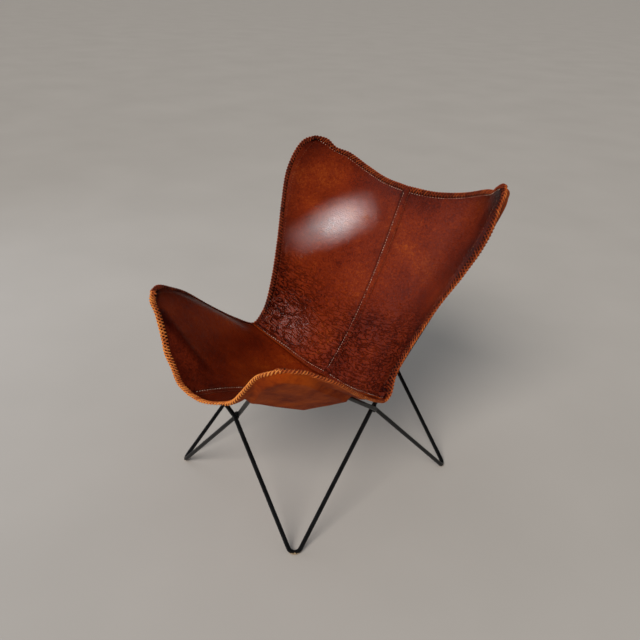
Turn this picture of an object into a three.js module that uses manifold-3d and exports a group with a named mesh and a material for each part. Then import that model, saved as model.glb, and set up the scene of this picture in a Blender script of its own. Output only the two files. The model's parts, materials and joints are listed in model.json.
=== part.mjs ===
import * as THREE from 'three';
import { mergeVertices } from 'three/addons/utils/BufferGeometryUtils.js';
import Module from 'manifold-3d';

const wasm = await Module();
wasm.setup();

// Millimetres. Z is up, the chair faces -Y, X = 0 is its plane of symmetry.

// Frame rod and its bends
const rodDiameter = 12;
const footBendRadius = 18;
const frontTipBendRadius = 50;
const backTipBendRadius = 47;
const footWear = 0.8;

// Feet, half spacings and distances from the middle of the chair
const frontFootHalf = 265;
const frontFootReach = 297;
const backFootHalf = 315;
const backFootReach = 300;

// Crossings of the rods, where the frame is welded
const frontCrossingReach = 269;
const frontCrossingHeight = 301;
const backCrossingReach = 311;
const backCrossingHeight = 316;
const sideCrossingHalf = 232;
const sideCrossingPlace = 24;
const sideCrossingHeight = 309;

// Points where the straight rods of the arms and of the back would meet
const frontTipHalf = 292;
const frontTipReach = 377;
const frontTipHeight = 642;
const backTipHalf = 400;
const backTipReach = 372;
const backTipHeight = 1024;

// Weld beads
const beadHalfWidth = 5;
const beadHalfDepth = 7;
const beadHalfHeight = 6;
const beadOffset = 7;

// Leather, lacing and fits
const leatherThickness = 3.5;
const pocketThickness = 2.5;
const clearance = 0.3;
const liningGap = 0.6;
const tipMargin = 24;
const tipEdgeLift = 2;
const seamLap = 14;
const seamRise = 12;
const lacingWidth = 14;
const lacingUnder = 9;
const lacingBorder = 3;
const lacingWall = 2;
const lacingPlay = 0.45;
const pocketSlack = 4;
const pocketDrop = 4;
const castReach = 30;

// Named places of the sling's outline and of its middle line
const frontEdgeReach = 411;
const frontEdgeHeight = 433;
const seatLowPlace = 5;
const seatLowHeight = 286;
const seamPlace = 66;
const seamHeight = 292;
const topEdgePlace = 380;
const topEdgeHeight = 808;
const waistHalf = 282;
const waistPlace = 13;
const waistHeight = 367;
const elbowBulge = 24;
const topBulge = 27;
const foldFlat = 20;

// Counts
const rodSides = 16;
const footBendSteps = 8;
const tipBendSteps = 10;
const beadSides = 8;
const sideColumns = 11;
const frontPocketColumns = 9;
const frontPocketRows = 9;
const backPocketColumns = 7;
const backPocketRows = 6;
const seatRows = 12;
const backRows = 15;
const curveSamples = 100;
const settleRounds = 6;
const cutDiameters = 6;
const rimColumns = 4;

// Shares that shape the sling. Each row goes from one named place to the next:
// its share in x, in y and in z, and its share of the bulge, if there is one.
const frontEdgeShares = [[0.25, 0.07, 0.04], [0.54, 0.48, 0.18], [0.78, 0.66, 0.44]];
const armEdgeShares = [[0.23, 0.23, 0.2, 1], [0.52, 0.52, 0.55, 0.95], [0.8, 0.8, 0.85, 0.5]];
const wingEdgeShares = [
  [-0.02, 0.16, 0.07],
  [0.07, 0.31, 0.24],
  [0.34, 0.49, 0.47],
  [0.78, 0.69, 0.68],
  [1.03, 0.85, 0.87],
];
const topEdgeShares = [[0.32, 0.32, 0.04, 0.5], [0.62, 0.62, 0.33, 1], [0.86, 0.86, 0.78, 0.8]];
const seatFrontShares = [[0, 0.175, 0.15], [0, 0.37, 0.38], [0, 0.59, 0.65], [0, 0.8, 0.88]];
const seatRearShares = [[0, 0.5, 0.1]];
const backShares = [
  [0, 0.12, 0.07],
  [0, 0.21, 0.13],
  [0, 0.31, 0.21],
  [0, 0.44, 0.32],
  [0, 0.56, 0.43],
  [0, 0.68, 0.56],
  [0, 0.75, 0.68],
  [0, 0.82, 0.77],
  [0, 0.9, 0.88],
];
const seamShares = [
  [0.21, 0, -0.05],
  [0.43, 0.04, 0.02],
  [0.58, 0.23, 0.24],
  [0.73, 0.53, 0.5],
  [0.87, 0.81, 0.77],
];
const lobeAngles = [-60, -30, 0, 30, 60];
const seamShare = 0.45;
const pocketSlopeShare = 0.9;
const frontPocketCornerShares = [0.45, 0.22];
const backPocketCornerShares = [0.6, 0.86];
const rimShares = [0.035, 0.08];
const rimRowShares = [0.014, 0.032];
const outerFoldShare = 1;
const innerFoldShare = 0.5;
const foldRoundShare = 0.35;

// Materials
const rodPaint = { color: 0x17181a, roughness: 0.38, metalness: 0.6 };
const weldPaint = { color: 0x1d1e20, roughness: 0.5, metalness: 0.6 };
const sittingLeather = { color: 0x7a2e12, roughness: 0.38, metalness: 0 };
const pocketLeather = { color: 0xb35a1e, roughness: 0.7, metalness: 0 };
const lacingLeather = { color: 0x9a4a20, roughness: 0.55, metalness: 0 };

const rodRadius = rodDiameter / 2;
const point = (x, y, z) => new THREE.Vector3(x, y, z);
const mirror = (p) => point(-p.x, p.y, p.z);
const sum = (a, b, share = 1) => a.clone().addScaledVector(b, share);
const difference = (a, b) => a.clone().sub(b);
const unit = (a) => a.clone().normalize();
const normalOf = (a, b) => a.clone().cross(b).normalize();
const smooth = (x) => THREE.MathUtils.smoothstep(x, 0, 1);

const chair = new THREE.Group();

function addMesh(name, geometry, look) {
  geometry.computeVertexNormals();
  const mesh = new THREE.Mesh(geometry, new THREE.MeshStandardMaterial(look));
  mesh.name = name;
  chair.add(mesh);
}

// Solids
function solidOf(geometry) {
  const bare = geometry.clone();
  bare.deleteAttribute('normal');
  bare.deleteAttribute('uv');
  const merged = mergeVertices(bare);
  const vertProperties = new Float32Array(merged.attributes.position.array);
  const triVerts = new Uint32Array(merged.index.array);
  return new wasm.Manifold(new wasm.Mesh({ numProp: 3, vertProperties, triVerts }));
}

function geometryOf(solid) {
  const mesh = solid.getMesh();
  const geometry = new THREE.BufferGeometry();
  geometry.setAttribute('position', new THREE.BufferAttribute(mesh.vertProperties, 3));
  geometry.setIndex(new THREE.BufferAttribute(mesh.triVerts, 1));
  return geometry;
}

// A block whose near face passes through a place and whose bulk lies along a direction
function blockBeyond(place, direction, span) {
  const block = new THREE.BoxGeometry(span, span, span);
  block.translate(0, 0, span / 2);
  block.applyQuaternion(new THREE.Quaternion().setFromUnitVectors(point(0, 0, 1), unit(direction)));
  block.translate(place.x, place.y, place.z);
  return solidOf(block);
}

// A path of stations, each with its place and its direction
class StationPath extends THREE.Curve {
  constructor(stations) {
    super();
    this.stations = stations;
  }
  station(t) {
    return this.stations[Math.round(t * (this.stations.length - 1))];
  }
  getPoint(t) {
    return this.station(t).place.clone();
  }
  getPointAt(t) {
    return this.getPoint(t);
  }
  getSpacedPoints(steps) {
    return Array.from({ length: steps + 1 }, (_, i) => this.getPoint(i / steps));
  }
  getTangentAt(t) {
    return this.station(t).direction.clone();
  }
}

// The bend of a hairpin: two straights from a corner to their far ends, rounded at the corner
function bendAt(corner, endA, endB, radius, steps) {
  const alongA = unit(difference(endA, corner));
  const alongB = unit(difference(endB, corner));
  const half = alongA.angleTo(alongB) / 2;
  const inward = unit(sum(alongA, alongB));
  const centre = sum(corner, inward, radius / Math.sin(half));
  const across = unit(difference(alongB, alongA));
  const turn = Math.PI / 2 - half;
  const arc = Array.from({ length: steps + 1 }, (_, i) => {
    const angle = turn * (2 * i / steps - 1);
    const place = sum(sum(centre, inward, -radius * Math.cos(angle)), across, radius * Math.sin(angle));
    const direction = sum(across.clone().multiplyScalar(Math.cos(angle)), inward, Math.sin(angle));
    return { place, direction: unit(direction) };
  });
  return { centre, inward, across, radius, arc };
}

function hairpin(corner, endA, endB, radius, steps, rodSize) {
  const { arc } = bendAt(corner, endA, endB, radius, steps);
  const first = { place: endA, direction: arc[0].direction };
  const last = { place: endB, direction: arc[arc.length - 1].direction };
  const path = new StationPath([first, ...arc, last]);
  const section = new THREE.Shape().absarc(0, 0, rodSize, 0, 2 * Math.PI);
  const options = { steps: path.stations.length - 1, curveSegments: rodSides / 2, extrudePath: path };
  return new THREE.ExtrudeGeometry(section, { ...options, bevelEnabled: false });
}

// Corners of the frame
const corners = {
  footFrontRight: point(frontFootHalf, -frontFootReach, 0),
  footFrontLeft: point(-frontFootHalf, -frontFootReach, 0),
  footBackRight: point(backFootHalf, backFootReach, 0),
  footBackLeft: point(-backFootHalf, backFootReach, 0),
  tipFrontRight: point(frontTipHalf, -frontTipReach, frontTipHeight),
  tipFrontLeft: point(-frontTipHalf, -frontTipReach, frontTipHeight),
  tipBackRight: point(backTipHalf, backTipReach, backTipHeight),
  tipBackLeft: point(-backTipHalf, backTipReach, backTipHeight),
};
const frontCross = point(0, -frontCrossingReach, frontCrossingHeight);
const backCross = point(0, backCrossingReach, backCrossingHeight);
const rightCross = point(sideCrossingHalf, sideCrossingPlace, sideCrossingHeight);
const leftCross = mirror(rightCross);

// A crossing has an outer and an inner strand. Each strand is a leg that goes on as an arm.
function crossing(place, outer, inner) {
  const [outerFoot, outerTip] = outer.map((name) => corners[name]);
  const [innerFoot, innerTip] = inner.map((name) => corners[name]);
  const away = unit(point(place.x, place.y, 0));
  const facing = (a, b) => {
    const normal = normalOf(difference(a, place), difference(b, place));
    return normal.dot(away) < 0 ? normal.negate() : normal;
  };
  const legNormal = facing(outerFoot, innerFoot);
  const armNormal = facing(outerTip, innerTip);
  const out = unit(sum(legNormal, armNormal));
  const spread = (rodDiameter + clearance) / 2 / Math.min(out.dot(legNormal), out.dot(armNormal));
  const strand = (foot, tip, side) => {
    const kink = sum(place, out, side * spread);
    const mitre = unit(difference(unit(difference(foot, kink)), unit(difference(tip, kink))));
    return { foot, tip, kink, mitre };
  };
  const strands = [strand(outerFoot, outerTip, 1), strand(innerFoot, innerTip, -1)];
  return { place, out, strands };
}
const crossingsNow = () => ({
  front: crossing(frontCross, ['footFrontRight', 'tipFrontLeft'], ['footFrontLeft', 'tipFrontRight']),
  back: crossing(backCross, ['footBackRight', 'tipBackLeft'], ['footBackLeft', 'tipBackRight']),
  right: crossing(rightCross, ['footBackRight', 'tipFrontRight'], ['footFrontRight', 'tipBackRight']),
  left: crossing(leftCross, ['footBackLeft', 'tipFrontLeft'], ['footFrontLeft', 'tipBackLeft']),
});
let crossings = crossingsNow();

function strandsAt(corner) {
  const all = Object.values(crossings).flatMap((cross) => cross.strands);
  return all.filter((strand) => strand.foot === corner || strand.tip === corner);
}

// Lets each foot's corner down until its bend stands in the floor by the worn flat
const feet = Object.entries(corners).filter(([name]) => name.startsWith('foot')).map(([, corner]) => corner);
for (let round = 0; round < settleRounds; round++) {
  for (const foot of feet) {
    const [a, b] = strandsAt(foot);
    const { arc } = bendAt(foot, a.kink, b.kink, footBendRadius, footBendSteps);
    foot.z += rodRadius - footWear - Math.min(...arc.map((station) => station.place.z));
  }
  crossings = crossingsNow();
}

// Hairpin bars: each turns at one corner and ends at the kinks of two crossings
const cutSpan = cutDiameters * rodDiameter;

function barSolid(corner, bendRadius, steps, rodSize) {
  const [a, b] = strandsAt(corner);
  const reach = (strand) => sum(strand.kink, unit(difference(strand.kink, corner)), rodDiameter);
  const solid = solidOf(hairpin(corner, reach(a), reach(b), bendRadius, steps, rodSize));
  return [a, b].reduce((rest, strand) => {
    const side = strand.foot === corner ? -1 : 1;
    const direction = strand.mitre.clone().multiplyScalar(side);
    const face = sum(strand.kink, direction, -clearance / 2);
    return rest.subtract(blockBeyond(face, direction, cutSpan));
  }, solid);
}

const barPlans = {
  leg_front_right: ['footFrontRight', footBendRadius, footBendSteps],
  leg_front_left: ['footFrontLeft', footBendRadius, footBendSteps],
  leg_back_right: ['footBackRight', footBendRadius, footBendSteps],
  leg_back_left: ['footBackLeft', footBendRadius, footBendSteps],
  arm_rod_front_right: ['tipFrontRight', frontTipBendRadius, tipBendSteps],
  arm_rod_front_left: ['tipFrontLeft', frontTipBendRadius, tipBendSteps],
  back_rod_right: ['tipBackRight', backTipBendRadius, tipBendSteps],
  back_rod_left: ['tipBackLeft', backTipBendRadius, tipBendSteps],
};

for (const [name, [cornerName, bendRadius, steps]] of Object.entries(barPlans)) {
  const corner = corners[cornerName];
  let solid = barSolid(corner, bendRadius, steps, rodRadius);
  if (name.startsWith('leg')) {
    solid = solid.subtract(blockBeyond(point(corner.x, corner.y, 0), point(0, 0, -1), cutSpan));
  }
  addMesh(name, geometryOf(solid), rodPaint);
}

// Weld beads: one in the upper and one in the lower crotch of each crossing
function bead(cross, upward) {
  const up = unit(sum(point(0, 0, upward), cross.out, -upward * cross.out.z));
  const along = normalOf(up, cross.out);
  const lump = new THREE.SphereGeometry(1, beadSides, beadSides / 2);
  lump.scale(beadHalfWidth, beadHalfHeight, beadHalfDepth);
  lump.applyMatrix4(new THREE.Matrix4().makeBasis(along, up, cross.out));
  const place = sum(cross.place, up, beadOffset);
  lump.translate(place.x, place.y, place.z);
  const bars = Object.values(barPlans).filter(([cornerName]) => {
    return cross.strands.some((strand) => [strand.foot, strand.tip].includes(corners[cornerName]));
  });
  return bars.reduce((rest, [cornerName, bendRadius, steps]) => {
    const [a, b] = strandsAt(corners[cornerName]);
    const grown = rodRadius + clearance;
    const reach = (strand) => sum(strand.kink, unit(difference(strand.kink, corners[cornerName])), rodRadius);
    const rod = hairpin(corners[cornerName], reach(a), reach(b), bendRadius, steps, grown);
    return rest.subtract(solidOf(rod));
  }, solidOf(lump));
}

for (const [name, cross] of Object.entries(crossings)) {
  addMesh(`weld_${name}_upper`, geometryOf(bead(cross, 1)), weldPaint);
  addMesh(`weld_${name}_lower`, geometryOf(bead(cross, -1)), weldPaint);
}

// The sling's right half as a surface: s runs from the middle line to the side edge,
// t from the front edge over the seat seam to the top edge.
const sittingLift = rodRadius + clearance + leatherThickness / 2 + liningGap;

function between(a, b, rows, bulge = point(0, 0, 0)) {
  return rows.map(([shareX, shareY, shareZ, out = 0]) => {
    const step = difference(b, a).multiply(point(shareX, shareY, shareZ));
    return sum(sum(a, step), bulge, out);
  });
}

function smoothLine(points) {
  const line = new THREE.CatmullRomCurve3(points);
  line.arcLengthDivisions = curveSamples * (points.length - 1);
  return line;
}

// How far along a line, as a share of its length, one of its own points lies
function shareAlong(line, index) {
  const lengths = line.getLengths();
  return lengths[curveSamples * index] / lengths[lengths.length - 1];
}

// A tip of the frame, with the plane of its two rods and the sitting side of that plane
function armTip(corner, crossA, crossB, radius, sitting) {
  const bend = bendAt(corner, crossA, crossB, radius, tipBendSteps);
  const normal = normalOf(bend.inward, bend.across);
  if (normal.dot(sitting) < 0) normal.negate();
  const rods = [crossA, ...bend.arc.map((station) => station.place), crossB];
  const lobe = lobeAngles.map((degrees) => {
    const angle = THREE.MathUtils.degToRad(degrees);
    const size = radius + tipMargin;
    const place = sum(sum(bend.centre, bend.inward, -size * Math.cos(angle)), bend.across, size * Math.sin(angle));
    return sum(place, normal, tipEdgeLift);
  });
  const turn = Math.sign(normalOf(difference(rods[1], rods[0]), normal).dot(difference(crossB, crossA)));
  return { ...bend, normal, rods, lobe, turn };
}
const innerKink = (cross) => cross.strands[1].kink;
const [frontKink, sideKink, backKink] = [crossings.front, crossings.right, crossings.back].map(innerKink);
const frontTip = armTip(corners.tipFrontRight, frontKink, sideKink, frontTipBendRadius, point(-1, 1, 1));
const backTip = armTip(corners.tipBackRight, sideKink, backKink, backTipBendRadius, point(-1, -1, 1));

// The same tips along the outer strands, which lie lower: the pockets go under these.
const outerKink = (cross) => cross.strands[0].kink;
const [frontOuter, sideOuter, backOuter] = [crossings.front, crossings.right, crossings.back].map(outerKink);
const frontUnder = armTip(corners.tipFrontRight, frontOuter, sideOuter, frontTipBendRadius, point(-1, 1, 1));
const backUnder = armTip(corners.tipBackRight, sideOuter, backOuter, backTipBendRadius, point(-1, -1, 1));

const frontMiddle = point(0, -frontEdgeReach, frontEdgeHeight);
const seatLow = point(0, -seatLowPlace, seatLowHeight);
const seamMiddle = point(0, seamPlace, seamHeight);
const topMiddle = point(0, topEdgePlace, topEdgeHeight);
const waist = point(waistHalf, waistPlace, waistHeight);
const apexIndex = (lobeAngles.length - 1) / 2;

const frontEdge = smoothLine([
  frontMiddle,
  ...between(frontMiddle, frontTip.lobe[0], frontEdgeShares),
  ...frontTip.lobe.slice(0, apexIndex + 1),
]);
const sideBelow = [
  ...frontTip.lobe.slice(apexIndex),
  ...between(frontTip.lobe.at(-1), waist, armEdgeShares, point(elbowBulge, 0, 0)),
];
const sideAbove = [
  ...between(waist, backTip.lobe[0], wingEdgeShares),
  ...backTip.lobe.slice(0, apexIndex + 1),
];
const sideEdge = smoothLine([...sideBelow, waist, ...sideAbove]);
const topEdge = smoothLine([
  topMiddle,
  ...between(topMiddle, backTip.lobe.at(-1), topEdgeShares, point(0, topBulge, 0)),
  ...backTip.lobe.slice(apexIndex).reverse(),
]);
const seatLine = [
  frontMiddle,
  ...between(frontMiddle, seatLow, seatFrontShares),
  seatLow,
  ...between(seatLow, seamMiddle, seatRearShares),
];
const backLine = [...between(seamMiddle, topMiddle, backShares), topMiddle];
const middleLine = smoothLine([...seatLine, seamMiddle, ...backLine]);
const seamLine = smoothLine([seamMiddle, ...between(seamMiddle, waist, seamShares), waist]);
const waistShare = shareAlong(sideEdge, sideBelow.length);
const middleShare = shareAlong(middleLine, seatLine.length);

function warp(t, share) {
  if (t < seamShare) return t / seamShare * share;
  return share + (t - seamShare) / (1 - seamShare) * (1 - share);
}

function loft(s, t) {
  const side = sideEdge.getPointAt(warp(t, waistShare));
  const middle = middleLine.getPointAt(warp(t, middleShare));
  const place = middle.clone().lerp(side, s * s);
  place.x = side.x * s;
  return place;
}

// Where a place lies over the two rods of a tip: its height over their plane, its distance
// from the nearer rod along that plane, and whether it is between them
function overRods(place, tip) {
  const height = difference(place, tip.rods[0]).dot(tip.normal);
  const foot = sum(place, tip.normal, -height);
  let distance = Infinity;
  let inside = false;
  for (let i = 1; i < tip.rods.length; i++) {
    const near = new THREE.Line3(tip.rods[i - 1], tip.rods[i]).closestPointToPoint(foot, true, point(0, 0, 0));
    if (near.distanceTo(foot) > distance) continue;
    distance = near.distanceTo(foot);
    const across = difference(tip.rods[i], tip.rods[i - 1]).cross(tip.normal);
    inside = across.dot(difference(foot, near)) * tip.turn > 0;
  }
  return { height, distance, inside };
}

// Lifts the leather where it is draped over the rods of a tip
function drape(place, tip) {
  const { height, distance, inside } = overRods(place, tip);
  const slope = inside ? innerFoldShare : outerFoldShare;
  const fold = sittingLift - slope * Math.max(0, distance - foldFlat);
  const soft = foldFlat * foldRoundShare;
  const excess = height - fold;
  const blend = Math.max(soft - Math.abs(excess), 0) / soft;
  return sum(place, tip.normal, Math.max(-excess, 0) + blend * blend * soft / 4);
}

function surface(s, t) {
  const side = Math.abs(s);
  const place = loft(side, t);
  const addEdge = (line, edgeShare, weight) => {
    const offset = difference(line.getPointAt(side), loft(side, edgeShare));
    place.addScaledVector(offset, weight);
  };
  const frontWeight = 1 - smooth(t / seamShare);
  const topWeight = smooth((t - seamShare) / (1 - seamShare));
  const seamWeight = 1 - frontWeight - topWeight;
  addEdge(frontEdge, 0, frontWeight);
  addEdge(topEdge, 1, topWeight);
  addEdge(seamLine, seamShare, seamWeight);
  const draped = drape(drape(place, frontTip), backTip);
  return s < 0 ? mirror(draped) : draped;
}

const probeShare = 0.002;

function surfaceNormal(s, t) {
  const side = Math.abs(s);
  if (side === 1 && t === 0) return s < 0 ? mirror(frontTip.normal) : frontTip.normal.clone();
  if (side === 1 && t === 1) return s < 0 ? mirror(backTip.normal) : backTip.normal.clone();
  const clip = (value) => THREE.MathUtils.clamp(value, 0, 1);
  const across = difference(surface(clip(side + probeShare), t), surface(Math.max(side - probeShare, -1), t));
  if (side + probeShare > 1) across.copy(difference(surface(1, t), surface(1 - probeShare, t)));
  const along = difference(surface(side, clip(t + probeShare)), surface(side, clip(t - probeShare)));
  const normal = normalOf(across, along);
  return s < 0 ? mirror(normal) : normal;
}

// The rim of the right half, followed from the front middle round to the top middle.
// Each station has its place on the outer edge, its travel, the surface's normal and the way in.
function station(place, normal, travel) {
  const inward = normalOf(normal, travel);
  return { place, normal, travel: normalOf(inward, normal), inward };
}

function rimStation(s, t) {
  const place = surface(s, t);
  const normal = surfaceNormal(s, t);
  if (s === 1 && t === 0) return station(place, normal, normalOf(frontTip.inward, normal));
  if (s === 1 && t === 1) return station(place, normal, normalOf(backTip.inward, normal));
  if (t === 0) return station(place, normal, frontEdge.getTangentAt(s));
  if (t === 1) return station(place, normal, topEdge.getTangentAt(s).negate());
  return station(place, normal, sideEdge.getTangentAt(warp(t, waistShare)));
}

// Columns run from the middle to the side edge, rows from the front to the top.
const slingLength = middleLine.getLength();
const halfWidth = (t) => sideEdge.getPointAt(warp(t, waistShare)).x;
const lapShare = seamLap / slingLength;
const riseShare = seamRise / slingLength;
const spread = (from, to, count) => Array.from({ length: count }, (_, i) => from + (to - from) * i / (count - 1));

const seatSteps = [0, rimRowShares[0], ...spread(rimRowShares[1], seamShare - lapShare, seatRows), seamShare];
const backSteps = [
  seamShare - lapShare,
  seamShare,
  ...spread(seamShare + riseShare, 1 - rimRowShares[1], backRows),
  1 - rimRowShares[0],
  1,
];
const columnCount = sideColumns + rimColumns;
const lastColumn = columnCount - 1;
function columnShare(index, t) {
  if (index === 0) return 0;
  if (index === columnCount - 1) return 1;
  if (index === columnCount - 2) return 1 - rimShares[0];
  const lap = seamLap / halfWidth(t);
  return lap + (1 - rimShares[1] - lap) * (index - 1) / sideColumns;
}

function gridPoint(s, t, border = lacingBorder) {
  const side = Math.abs(s);
  let place = surface(side, t);
  const normal = surfaceNormal(side, t);
  if (side === 1 || t === 0 || t === 1) {
    place = sum(place, rimStation(side, t).inward, border);
  }
  return s < 0 ? { place: mirror(place), normal: mirror(normal) } : { place, normal };
}

// A closed sheet on a grid of points: depth says how far its middle lies under the surface,
// kept says which cells are there, and turned picks the diagonal of its cells.
function sheet(points, half, kept, turned) {
  const vertices = [];
  const faces = [];
  const columns = points[0].length;
  points.flat().forEach(({ place, normal, depth = 0, half: own = half }) => {
    vertices.push(sum(place, normal, own - depth), sum(place, normal, -own - depth));
  });
  const upper = (i, j) => 2 * (j * columns + i);
  const lower = (i, j) => upper(i, j) + 1;
  const has = (i, j) => i >= 0 && j >= 0 && i < columns - 1 && j < points.length - 1 && kept(i, j);
  const wall = (a, b) => {
    const [topA, topB] = [upper(...a), upper(...b)];
    faces.push([topA, topA + 1, topB + 1], [topA, topB + 1, topB]);
  };
  for (let j = 0; j < points.length - 1; j++) {
    for (let i = 0; i < columns - 1; i++) {
      if (!has(i, j)) continue;
      const [a, b, c, d] = [[i, j], [i + 1, j], [i + 1, j + 1], [i, j + 1]];
      const cells = turned(i, j) ? [[a, b, d], [b, c, d]] : [[a, b, c], [a, c, d]];
      for (const [p, q, r] of cells) {
        faces.push([upper(...p), upper(...q), upper(...r)], [lower(...p), lower(...r), lower(...q)]);
      }
      if (!has(i, j - 1)) wall(a, b);
      if (!has(i + 1, j)) wall(b, c);
      if (!has(i, j + 1)) wall(c, d);
      if (!has(i - 1, j)) wall(d, a);
    }
  }
  return closedGeometry(vertices, faces);
}

function closedGeometry(vertices, faces) {
  const used = [...new Set(faces.flat())];
  const order = new Map(used.map((old, index) => [old, index]));
  const geometry = new THREE.BufferGeometry().setFromPoints(used.map((old) => vertices[old]));
  geometry.setIndex(faces.flat().map((old) => order.get(old)));
  return geometry;
}

// Leather panels. The back laps under the seat, and the left half laps under the right.
const lapDepth = leatherThickness + clearance;

function panelRight(steps, isBack, { half, border, gap }) {
  const last = lastColumn;
  const points = steps.map((t, j) => Array.from({ length: columnCount }, (_, i) => {
    const pt = gridPoint(columnShare(i, t), t, border);
    if (i === 0) pt.place.x = gap / 2;
    if (isBack && j < 2 && i < last - 1) pt.depth = lapDepth;
    if (isBack && j === 1 && i >= last - 1) {
      pt.place.addScaledVector(rimStation(1, t).travel, gap);
    }
    return pt;
  }));
  const kept = (i, j) => !(isBack && j === 0 && i >= last - 2);
  return sheet(points, half, kept, (i, j) => !isBack || j === 0);
}

function panelLeft(steps, isBack, { half, border, gap }) {
  const last = lastColumn;
  const rowCount = steps.length;
  const lapped = (j) => (isBack ? j > 2 && j < rowCount - 2 : j > 1 && j < rowCount - 2);
  const points = steps.map((t, j) => {
    const row = Array.from({ length: columnCount }, (_, i) => {
      const pt = gridPoint(-columnShare(last - i, t), t, border);
      if (isBack && j < 2 && i > 1) pt.depth = lapDepth;
      if (isBack && j === 1 && i <= 1) {
        pt.place.addScaledVector(mirror(rimStation(1, t).travel), gap);
      }
      if (i === last && lapped(j)) pt.depth = lapDepth;
      if (i === last && !lapped(j)) pt.place.x = -gap / 2;
      return pt;
    });
    const flap = gridPoint(seamLap / halfWidth(t), t, border);
    return [...row, { ...flap, depth: lapDepth }];
  });
  const kept = (i, j) => {
    if (i === last) return lapped(j) && lapped(j + 1);
    return !(isBack && j === 0 && i <= 1);
  };
  return sheet(points, half, kept, (i, j) => isBack && j > 0);
}

// Takes the bearing of the tip rods out of leather that is drawn tight over them
function bedded(geometry, side) {
  return ['tipFront', 'tipBack'].reduce((rest, tip) => {
    const [cornerName, bendRadius, steps] = Object.values(barPlans).find(([name]) => name === tip + side);
    return rest.subtract(barSolid(corners[cornerName], bendRadius, steps, rodRadius + clearance));
  }, solidOf(geometry));
}

const asMade = { half: leatherThickness / 2, border: lacingBorder, gap: clearance };
for (const [name, steps] of Object.entries({ seat: seatSteps, back: backSteps })) {
  const isBack = steps === backSteps;
  addMesh(`${name}_panel_right`, geometryOf(bedded(panelRight(steps, isBack, asMade), 'Right')), sittingLeather);
  addMesh(`${name}_panel_left`, geometryOf(bedded(panelLeft(steps, isBack, asMade), 'Left')), sittingLeather);
}

function mirrored(geometry) {
  const copy = geometry.clone().scale(-1, 1, 1);
  const corner = Array.from(copy.index.array);
  copy.setIndex(corner.map((_, k) => corner[k - k % 3 + (3 - k % 3) % 3]));
  return copy;
}

// Tip pockets: a second layer under each tip, sewn in at the rim, that takes the bend of the rod
const layerDepth = leatherThickness / 2 + clearance + pocketThickness / 2;
const underRod = rodRadius + clearance + pocketThickness / 2 + pocketDrop;

function pocketPoint(s, t, tip, border) {
  const pt = gridPoint(s, t, border);
  const onRim = s === 1 || t === 0 || t === 1;
  const { height, distance, inside } = overRods(pt.place, tip);
  const rise = inside ? 0 : pocketSlopeShare * Math.max(0, distance - rodRadius);
  const drop = (height + underRod - rise) / pt.normal.dot(tip.normal);
  return { ...pt, depth: onRim ? layerDepth : Math.max(layerDepth + pocketSlack, drop) };
}

// Columns and rows count the rim's cells from the tip to the two ends of the pocket's mouth.
function pocketPoints({ tip, columns, steps, edge, far }, border, more = 0) {
  const rimPlaces = Array.from({ length: columns + more + 1 }, (_, k) => columnShare(lastColumn - k, edge));
  const rimSteps = steps.slice(0, steps.length + more - 1);
  const endS = rimPlaces.at(-1);
  const endT = rimSteps.at(-1);
  const [farS, farT] = far;
  return rimSteps.map((t) => rimPlaces.map((s) => {
    const a = (1 - s) / (1 - endS);
    const d = (t - edge) / (endT - edge);
    const atS = 1 - a * (1 - d) * (1 - endS) - a * d * (1 - farS);
    const atT = edge + (1 - a) * d * (endT - edge) + a * d * (farT - edge);
    return pocketPoint(d === 0 ? s : atS, d === 0 ? edge : atT, tip, border);
  }));
}

const frontPocket = {
  tip: frontUnder,
  columns: frontPocketColumns,
  steps: seatSteps.slice(0, frontPocketRows + 2),
  edge: 0,
  far: frontPocketCornerShares,
};
const backPocket = {
  tip: backUnder,
  columns: backPocketColumns,
  steps: backSteps.slice(-backPocketRows - 2).reverse(),
  edge: 1,
  far: backPocketCornerShares,
};

function pocketSheet(pocket, points, half) {
  if (pocket === backPocket) return sheet(points, half, () => true, () => false);
  return sheet(points.map((row) => row.reverse()), half, () => true, () => true);
}

for (const [name, pocket] of Object.entries({ front: frontPocket, back: backPocket })) {
  const right = pocketSheet(pocket, pocketPoints(pocket, lacingBorder), pocketThickness / 2);
  addMesh(`tip_pocket_${name}_right`, geometryOf(bedded(right, 'Right')), pocketLeather);
  addMesh(`tip_pocket_${name}_left`, geometryOf(bedded(mirrored(right), 'Left')), pocketLeather);
}

// Edge lacing: a strip folded round the rim of the panels, and of the pockets at the tips.
// It is swept as a bead and then grooved by the layers that it holds.
const grooveBorder = lacingBorder - lacingPlay;
const grownPocket = pocketThickness / 2 + lacingPlay;

// The space from the panel down to the far face of a pocket, and on past the pocket's mouth
function pocketSpace(pocket, more) {
  const points = pocketPoints(pocket, grooveBorder, more).map((row) => row.map((pt) => {
    const half = (pt.depth + grownPocket) / 2;
    return { ...pt, depth: half, half };
  }));
  return pocketSheet(pocket, points);
}

const asHeld = { half: leatherThickness / 2 + lacingPlay, border: grooveBorder, gap: 0 };
const held = [panelRight, panelLeft].flatMap((panel) => [
  panel(seatSteps, false, asHeld),
  panel(backSteps, true, asHeld),
]);
for (const pocket of [frontPocket, backPocket]) {
  for (const more of [0, 1]) {
    const space = pocketSpace(pocket, more);
    held.push(space, mirrored(space));
  }
}
const heldSolids = held.map(solidOf);

function facetsOf(geometry) {
  const corner = (k) => new THREE.Vector3().fromBufferAttribute(geometry.attributes.position, geometry.index.array[k]);
  const facets = [];
  for (let k = 0; k < geometry.index.count; k += 3) facets.push([corner(k), corner(k + 1), corner(k + 2)]);
  return facets;
}
const heldFacets = held.flatMap(facetsOf);

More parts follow.
